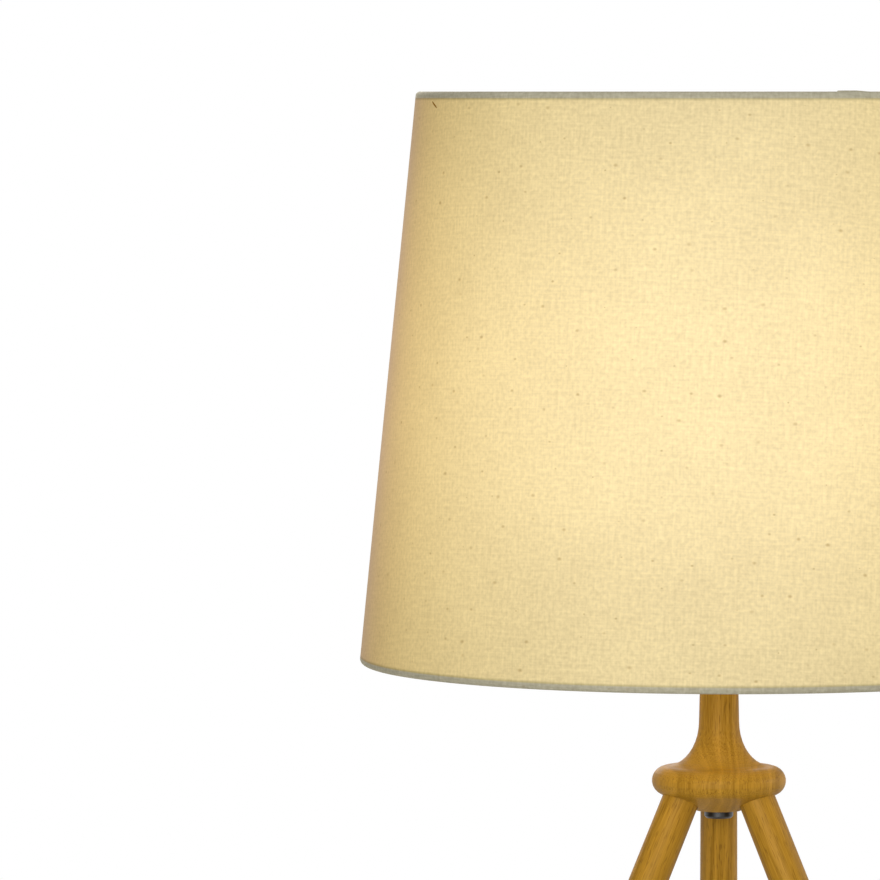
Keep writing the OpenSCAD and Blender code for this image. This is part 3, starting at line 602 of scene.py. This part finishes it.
# %% Brass, zinc plate and nickel plate
POLISH = (-0.08, 0.1)          # how far the roughness falls and rises from grain to grain
METALS = {                     # colour, roughness, grain in mm, relief in mm, nodes
    "turned_brass": ("#c9a257", 0.3, (4.0, 4.0, 0.15), 0.01,
                     ("neck_collar", "leg_inserts", "terminals", "center_contact",
                      "switch_bridge")),
    "zinc_plated_steel": ("#bfc3c6", 0.36, (0.5, 0.5, 0.5), 0.01,
                          ("tube", "tube_washer", "tube_nut", "neck_nut", "grip_screw",
                           "terminal_screws", "leg_bolts", "foot_nails")),
    "nickel_plated_brass": ("#c9c3b6", 0.24, (0.8, 0.8, 0.3), 0.008,
                            ("screw_shell", "bulb_cap", "bulb_tip")),
}
for name, (colour, rough, grain, relief, nodes) in METALS.items():
    metal, tree, shader = new_finish(name, Metallic=1.0)
    shader.inputs["Base Color"].default_value = linear(colour)
    place = add(tree, "TexCoord")
    sized = add(tree, "VectorMath", {0: place.outputs["Object"],
                                     1: [1 / (g * MM) for g in grain]}, operation="MULTIPLY")
    patch = add(tree, "TexNoise", {"Vector": sized.outputs[0], "Scale": 1.0, "Detail": 3.0})
    dull = add(tree, "MapRange", {"Value": patch.outputs[0], "From Min": NOISE_SPAN[0],
                                  "From Max": NOISE_SPAN[1], "To Min": rough + POLISH[0],
                                  "To Max": rough + POLISH[1]})
    tree.links.new(dull.outputs[0], shader.inputs["Roughness"])
    bump = add(tree, "Bump", {"Height": patch.outputs[0], "Distance": relief * MM,
                              "Strength": 0.5})
    tree.links.new(bump.outputs[0], shader.inputs["Normal"])
    dress(metal, *nodes)
print("metals:", ", ".join(METALS))

# %% [markdown]
# ## Mouldings, ceramic, rubber and powder coat
#
# The lampholder is a black thermosetting plastic, pressed in a polished steel mould: nearly black
# with a warm cast and a satin gloss. Its inner block is steatite, a dense unglazed ceramic. The
# bulb's housing is white polycarbonate, the pads are soft rubber with no gloss, and the wires are
# powder-coated, which leaves the faint skin of an orange. All share one recipe: a colour that
# wanders a little, and a fine relief at the size that the process leaves.

# %% The moulded and coated finishes
WANDER = 0.06                  # size of the relief over that of the colour's patches
MOULDED = {                    # two colours, roughness, relief size in mm, relief depth in mm, nodes
    "black_thermoset": ("#191715", "#221f1c", 0.34, 0.5, 0.012,
                        ("holder_cap", "holder_body", "shade_ring", "switch_bar", "cord_bush",
                         "bulb_insulator")),
    "steatite_ceramic": ("#e4dccb", "#d6cdb9", 0.62, 0.25, 0.02, ("contact_block",)),
    "white_polycarbonate": ("#eeece6", "#e6e3db", 0.4, 0.35, 0.008, ("bulb_housing", "led_board")),
    "soft_rubber": ("#1d1d1e", "#29292a", 0.8, 0.4, 0.03, ("foot_pads",)),
    "white_powder_coat": ("#e8e5dd", "#dedad0", 0.45, 0.7, 0.03, ("shade_carrier", "ring_top")),
}
for name, (colour, other, rough, size, relief, nodes) in MOULDED.items():
    moulding, tree, shader = new_finish(name, Roughness=rough)
    place = add(tree, "TexCoord")
    sized = add(tree, "VectorMath", {0: place.outputs["Object"], "Scale": 1 / (size * MM)},
                operation="SCALE")
    skin = add(tree, "TexNoise", {"Vector": sized.outputs[0], "Scale": 1.0, "Detail": 2.0})
    wander = add(tree, "TexNoise", {"Vector": sized.outputs[0], "Scale": WANDER, "Detail": 2.0})
    tone = add(tree, "Mix", {0: wander.outputs[0], MIX_A: linear(colour), MIX_B: linear(other)},
               data_type="RGBA")
    tree.links.new(tone.outputs[MIX_OUT], shader.inputs["Base Color"])
    bump = add(tree, "Bump", {"Height": skin.outputs[0], "Distance": relief * MM,
                              "Strength": 0.5})
    tree.links.new(bump.outputs[0], shader.inputs["Normal"])
    dress(moulding, *nodes)
print("mouldings:", ", ".join(MOULDED))

# %% [markdown]
# ## The thread of the lampholder
#
# The retaining ring runs on a coarse moulded thread outside the lampholder's skirt, and its last
# turns show above the ring. A thread is one ridge along a helix. It could be cut by booleans, but a
# swept ridge is lighter and cleaner: the same four-sided section is set at every step of the
# helix, its feet a little inside the skirt, and it shrinks to nothing over its first and last
# stretch, as a moulded thread runs out.

# %% Sweep the ridge round the skirt
PITCH = 2.5 * MM
RIDGE_H = 0.7 * MM             # how far the ridge stands out from the skirt
RIDGE_W = (1.7 * MM, 0.7 * MM)     # its width at the skirt and at its crest
RIDGE_SUNK = 0.1 * MM          # how far its feet stand inside the skirt
RIDGE_START = 0.3 * MM         # from the ring's top to the first turn's lower foot
RUN_OUT = 0.2                  # turns over which the ridge rises and falls
TURN_STEPS = 72
SKIRT_SHARE = 0.85             # how much of the skirt over the ring carries the thread

holder_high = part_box("holder_body")[1]
ring_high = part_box("shade_ring")[1]
skirt_r = max(math.hypot(v.co.x, v.co.y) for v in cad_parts["holder_body"].data.vertices
              if v.co.z > ring_high.z)
thread_l = (holder_high.z - ring_high.z) * SKIRT_SHARE - RIDGE_W[0]
turns = thread_l / PITCH
ridge_n = round(turns * TURN_STEPS)
points, faces = [], []
for i in range(ridge_n + 1):
    turn = turns * i / ridge_n
    rise = min(1.0, turn / RUN_OUT, (turns - turn) / RUN_OUT)
    middle = ring_high.z + RIDGE_W[0] / 2 + RIDGE_START + PITCH * turn
    azimuth = 2 * math.pi * turn
    for side, width in ((-1, RIDGE_W[0]), (-1, RIDGE_W[1]), (1, RIDGE_W[1]), (1, RIDGE_W[0])):
        out = RIDGE_H * rise if width == RIDGE_W[1] else 0.0
        radius = skirt_r - RIDGE_SUNK + out
        points.append((radius * math.cos(azimuth), radius * math.sin(azimuth),
                       middle + side * width / 2))
for i in range(ridge_n):
    for k in range(4):
        a, b = 4 * i + k, 4 * i + (k + 1) % 4
        faces.append((a, a + 4, b + 4, b))
faces += [(3, 2, 1, 0), tuple(4 * ridge_n + k for k in range(4))]
mesh = bpy.data.meshes.new("skirt_thread")
mesh.from_pydata(points, [], faces)
mesh.validate()
thread = bpy.data.objects.new("skirt_thread", mesh)
scene.collection.objects.link(thread)
fix = bmesh.new()
fix.from_mesh(mesh)
bmesh.ops.recalc_face_normals(fix, faces=fix.faces)
fix.to_mesh(mesh)
fix.free()
thread.data.materials.append(bpy.data.materials["black_thermoset"])
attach(thread, "base")
print(f"skirt {2 * skirt_r / MM:.1f} mm, {turns:.1f} turns of {PITCH / MM:.1f} mm")

# %% [markdown]
# ## Film and bulb
#
# The film behind the cloth is a white translucent plastic. From above and below one sees its inner
# face, bright with the bulb's light and with a faint painted glow, which stands in for the light that
# film and cloth send back and forth. The bulb's globe is opal plastic over a ring of light chips:
# it shines in warm white, a little weaker at its foot, and is the only lamp inside the shade.

# %% The white film and the opal globe
BULB_LIGHT = "#ffdfae"
BULB_STRENGTH = 8.0
BULB_FOOT = 0.85               # the light at the globe's foot, as a share of that at its top
OPAL = "#f6f3ec"
FILM_MM = 6.0                  # mm, size of the film's faint clouds
FILM_TONES = ("#f4f1e8", "#ece8dc")
# painted glow of the film, in its two cloud tones; the film is no lamp
FILM_PAINTED_GLOW = ("#ffe9c4", "#fbe0b4")
FILM_STRENGTH = 0.15           # strength of the film's painted glow, which stands in for the light that film and cloth send back and forth

film, tree, shader = new_finish("white_shade_film", Roughness=0.4)
place = add(tree, "TexCoord")
sized = add(tree, "VectorMath", {0: place.outputs["Object"], "Scale": 1 / (FILM_MM * MM)},
            operation="SCALE")
cloud = add(tree, "TexNoise", {"Vector": sized.outputs[0], "Scale": 1.0, "Detail": 3.0})
tone = add(tree, "Mix", {0: cloud.outputs[0], MIX_A: linear(FILM_TONES[0]),
                         MIX_B: linear(FILM_TONES[1])}, data_type="RGBA")
tree.links.new(tone.outputs[MIX_OUT], shader.inputs["Base Color"])
# The film's emission is painted light: a faint glow standing in for bulb light bounced between film and
# cloth.
light = add(tree, "Mix", {0: cloud.outputs[0], MIX_A: linear(FILM_PAINTED_GLOW[0]),
                          MIX_B: linear(FILM_PAINTED_GLOW[1])}, data_type="RGBA")
tree.links.new(light.outputs[MIX_OUT], shader.inputs["Emission Color"])
shader.inputs["Emission Strength"].default_value = FILM_STRENGTH
dress(film, "shade_lining")

opal, tree, shader = new_finish("opal_globe_lit", Roughness=0.25)
shader.inputs["Base Color"].default_value = linear(OPAL)
place = add(tree, "TexCoord")
height = add(tree, "SeparateXYZ", {0: place.outputs["Object"]})
share = add(tree, "MapRange", {"Value": height.outputs["Z"], "From Min": globe_low.z,
                               "From Max": globe_high.z, "To Min": BULB_FOOT, "To Max": 1.0})
light = add(tree, "VectorMath", {0: linear(BULB_LIGHT)[:3], "Scale": share.outputs[0]},
            operation="SCALE")
tree.links.new(light.outputs[0], shader.inputs["Emission Color"])
shader.inputs["Emission Strength"].default_value = BULB_STRENGTH
dress(opal, "bulb_globe")
print("bulb", BULB_LIGHT, "at strength", BULB_STRENGTH)

# %% [markdown]
# ## Last look
#
# Cloth may stand a little proud of the CAD solids. The last step lists any CAD piece still
# without a finish.

# %% Look for bare pieces
undressed = [n for n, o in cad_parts.items() if not o.data.materials]
print("nodes without a finish:", undressed)
